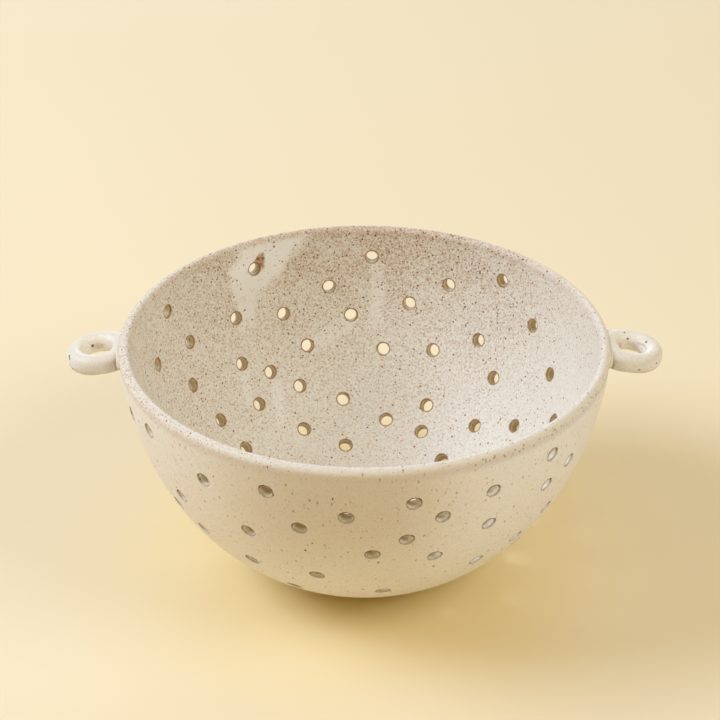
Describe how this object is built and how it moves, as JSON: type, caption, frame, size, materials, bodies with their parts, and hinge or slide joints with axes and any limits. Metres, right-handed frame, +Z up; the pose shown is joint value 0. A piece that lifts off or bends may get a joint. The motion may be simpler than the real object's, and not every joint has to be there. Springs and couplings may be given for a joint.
{
  "type": "berry bowl",
  "caption": "Deep round stoneware bowl for rinsing and draining berries, with scattered drain holes, a rounded lip, a low foot ring and a small ring handle on each side.",
  "frame": {"origin": "on the table, under the middle of the bowl", "axes": "+Z up, X through the ring handles, -Y towards the viewer of the picture"},
  "size_m": [0.2439, 0.2, 0.103],
  "materials": {
    "bowl_glaze": "off-white glaze with fine brown iron speckles, glossy inside and satin outside",
    "handle_glaze": "off-white glaze with a few brown iron speckles",
    "slip_glaze": "off-white glaze over a worked bead of slip",
    "foot_clay": "bare speckled stoneware, wiped clean of glaze"
  },
  "bodies": {
    "root": {"bowl": "bowl_glaze", "foot_ring": "foot_clay", "handle_ring_left": "handle_glaze", "handle_ring_right": "handle_glaze", "slip_bead_left": "slip_glaze", "slip_bead_right": "slip_glaze"}
  },
  "joints": []
}
